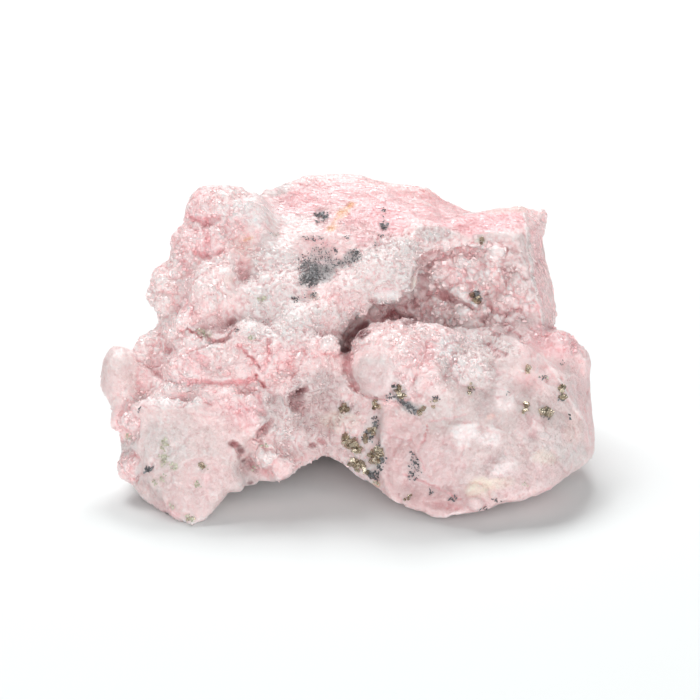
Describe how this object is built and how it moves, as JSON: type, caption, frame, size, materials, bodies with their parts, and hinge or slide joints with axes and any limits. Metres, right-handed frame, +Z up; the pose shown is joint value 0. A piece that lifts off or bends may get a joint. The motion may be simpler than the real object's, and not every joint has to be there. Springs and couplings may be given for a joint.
{
  "type": "rhodochrosite specimen",
  "caption": "Rough pink rhodochrosite hand specimen with rounded crystal crusts, an open quartz-lined pocket, grains of pyrite and an arched underside.",
  "frame": {"origin": "centre of the bounding box at the level of the surface it stands on", "axes": "+Z up, +X towards the viewer's right, -Y towards the viewer: the show face looks along -Y and leans back"},
  "size_m": [0.0791, 0.0556, 0.0422],
  "materials": {
    "rhodochrosite": "waxy to sugary, pale pink, slightly translucent",
    "quartz": "glassy to milky, pale grey, slightly translucent",
    "pyrite": "bright, brassy, in small faceted grains",
    "sulphide": "dark grey, dull metallic, in fine flecks"
  },
  "bodies": {
    "root": {"rhodochrosite_specimen": "rhodochrosite"}
  },
  "joints": []
}
